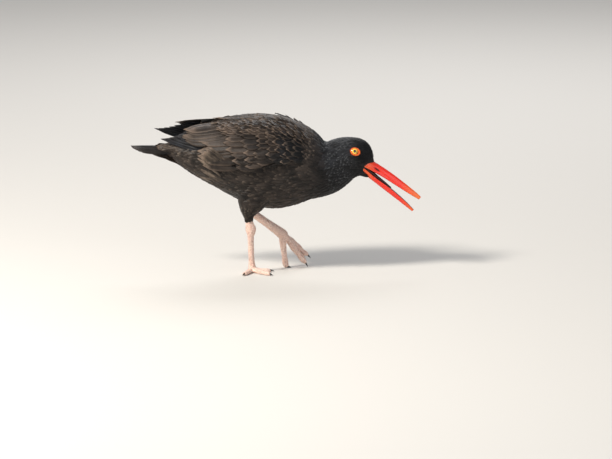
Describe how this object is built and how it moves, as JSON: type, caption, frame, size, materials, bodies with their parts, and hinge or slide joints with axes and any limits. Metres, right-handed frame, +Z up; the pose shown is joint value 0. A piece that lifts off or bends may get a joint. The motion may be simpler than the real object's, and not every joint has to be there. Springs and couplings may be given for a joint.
{
  "type": "black oystercatcher",
  "caption": "Life-size still model of a dark shorebird stepping forward with folded wings, a long slightly open red bill held low, and pale fleshy legs",
  "frame": {"origin": "on the floor under the middle of the bird's box", "axes": "+X towards the head, +Y the bird's left side, +Z up; the bird walks along +X"},
  "size_m": [0.3678, 0.107, 0.2016],
  "materials": {
    "head_plumage": "soft black feathers with a grey sheen",
    "body_plumage": "soft dark brown feathers",
    "wing_plumage": "brown-black feathers with pale worn edges",
    "tail_plumage": "brown-black flight feathers",
    "bill": "satin red horn, orange at the tip",
    "leg_skin": "pale flesh-pink scaled skin",
    "claw": "satin black horn",
    "eye": "polished, yellow with a small black pupil",
    "eyelid": "satin orange-red skin"
  },
  "bodies": {
    "root": {"torso": "body_plumage", "neck": "head_plumage", "head": "head_plumage", "tail": "tail_plumage", "wing_right": "wing_plumage", "wing_left": "wing_plumage", "thigh_right": "body_plumage", "thigh_left": "body_plumage", "leg_right": "leg_skin", "leg_left": "leg_skin", "foot_right": "leg_skin", "foot_left": "leg_skin", "claw_right_inner": "claw", "claw_right_middle": "claw", "claw_right_outer": "claw", "claw_left_inner": "claw", "claw_left_middle": "claw", "claw_left_outer": "claw", "bill_upper": "bill", "bill_lower": "bill", "eye_right": "eye", "eye_left": "eye", "eyelids_right": "eyelid", "eyelids_left": "eyelid"}
  },
  "joints": []
}
